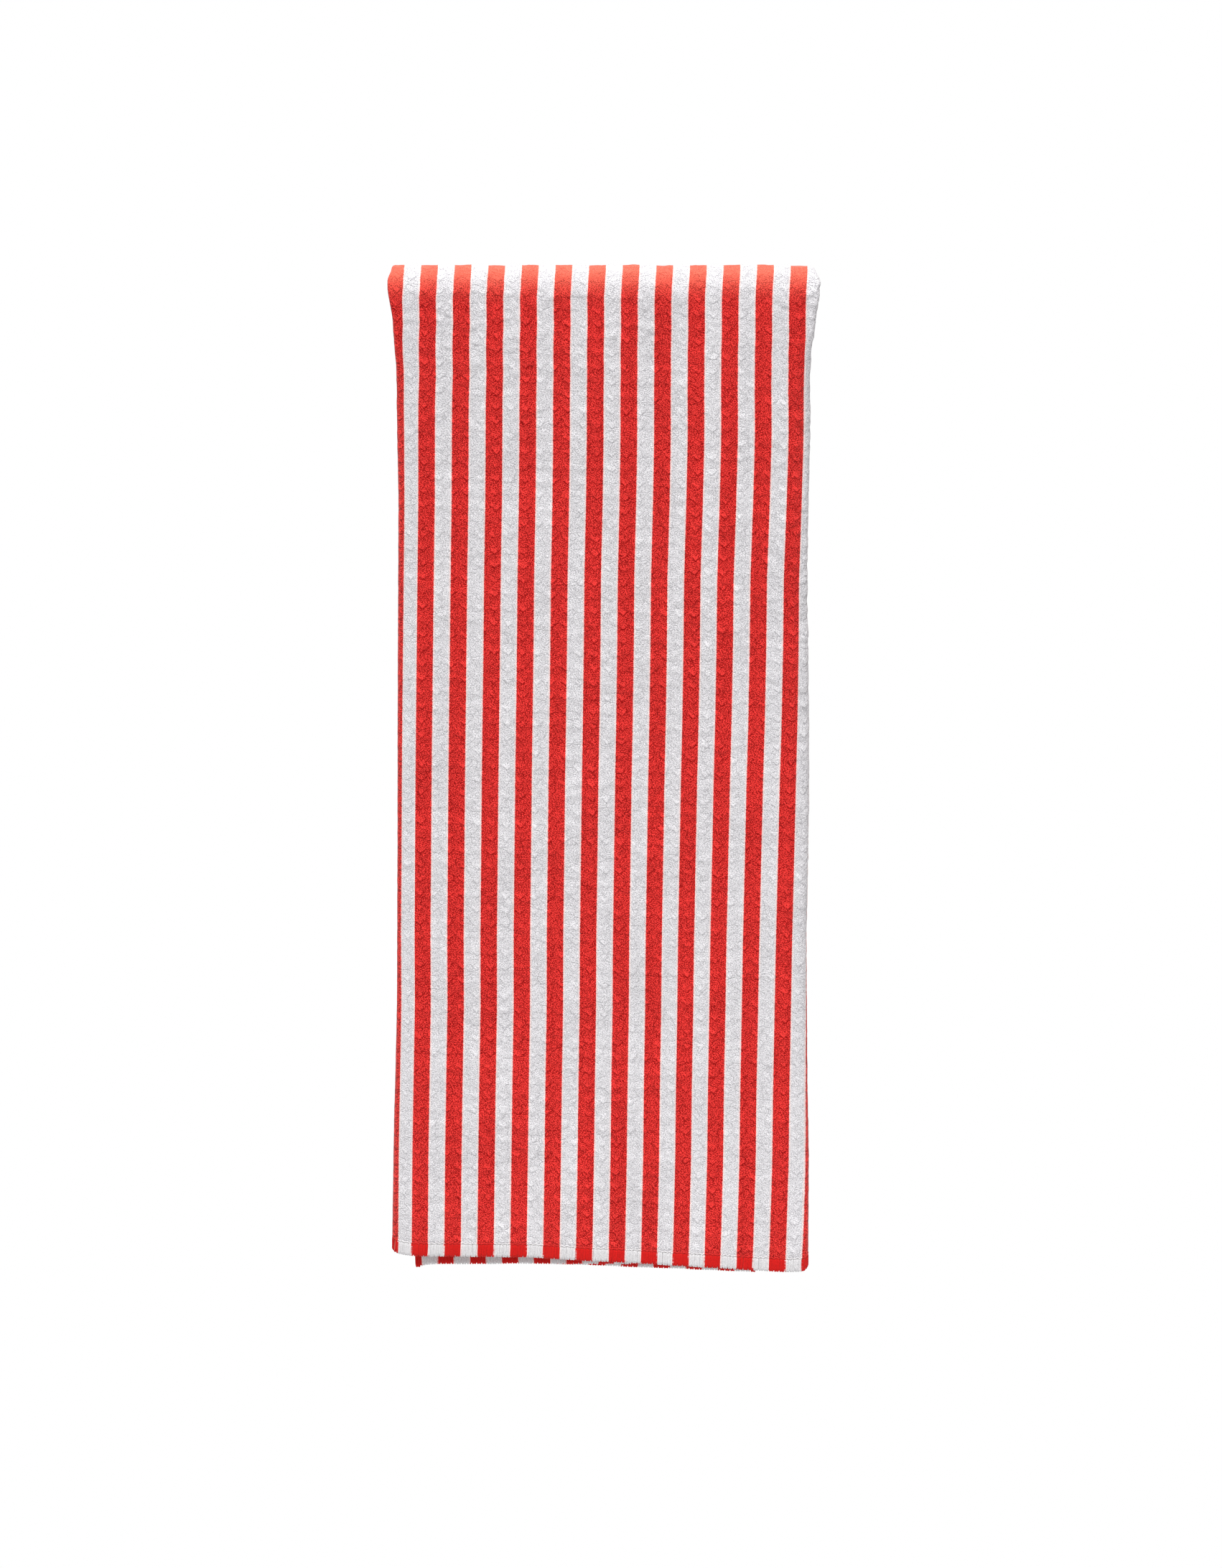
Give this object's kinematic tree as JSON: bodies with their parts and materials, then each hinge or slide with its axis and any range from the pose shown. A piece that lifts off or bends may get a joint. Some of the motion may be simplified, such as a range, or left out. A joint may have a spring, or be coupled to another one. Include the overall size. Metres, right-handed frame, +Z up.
{
  "type": "golf towel",
  "caption": "Striped terry golf towel folded lengthwise in thirds and draped over a rail, with serged ends and drops that swing up at the front and back.",
  "frame": {"origin": "middle of the flat underside of the cloth where it rests on the rail's top face", "axes": "+X along the rail to the right seen from the front, -Y towards the front, +Z up"},
  "size_m": [0.212, 0.0252, 0.5063],
  "materials": {
    "striped_terry": "looped pile, printed in equal lengthwise stripes of red and off-white, matte with a soft sheen",
    "serged_hem": "flat pressed cloth under overlock stitches, printed with the same stripes",
    "overlock_thread": "fine textured polyester thread, satin"
  },
  "bodies": {
    "saddle": {"saddle_centre_wrap": "striped_terry", "saddle_left_third_wrap": "striped_terry", "saddle_right_third_wrap": "striped_terry", "saddle_left_fold": "striped_terry", "saddle_right_fold": "striped_terry", "saddle_left_third_side_hem": "serged_hem", "saddle_right_third_side_hem": "serged_hem"},
    "front_drop": {"front_centre_panel": "striped_terry", "front_left_third_panel": "striped_terry", "front_right_third_panel": "striped_terry", "front_left_fold": "striped_terry", "front_right_fold": "striped_terry", "front_left_third_side_hem": "serged_hem", "front_right_third_side_hem": "serged_hem", "front_end_hem": "serged_hem", "front_overlock_stitching": "overlock_thread"},
    "back_drop": {"back_centre_panel": "striped_terry", "back_left_third_panel": "striped_terry", "back_right_third_panel": "striped_terry", "back_left_fold": "striped_terry", "back_right_fold": "striped_terry", "back_left_third_side_hem": "serged_hem", "back_right_third_side_hem": "serged_hem", "back_end_hem": "serged_hem", "back_overlock_stitching": "overlock_thread"}
  },
  "joints": [
    {"name": "front_drop_swing", "type": "hinge", "parent": "saddle", "child": "front_drop", "pos_m": [0, -0.0126, -0.018], "axis": [-1, 0, 0], "range_deg": [0, 85]},
    {"name": "back_drop_swing", "type": "hinge", "parent": "saddle", "child": "back_drop", "pos_m": [0, 0.0126, -0.018], "axis": [1, 0, 0], "range_deg": [0, 85]}
  ]
}
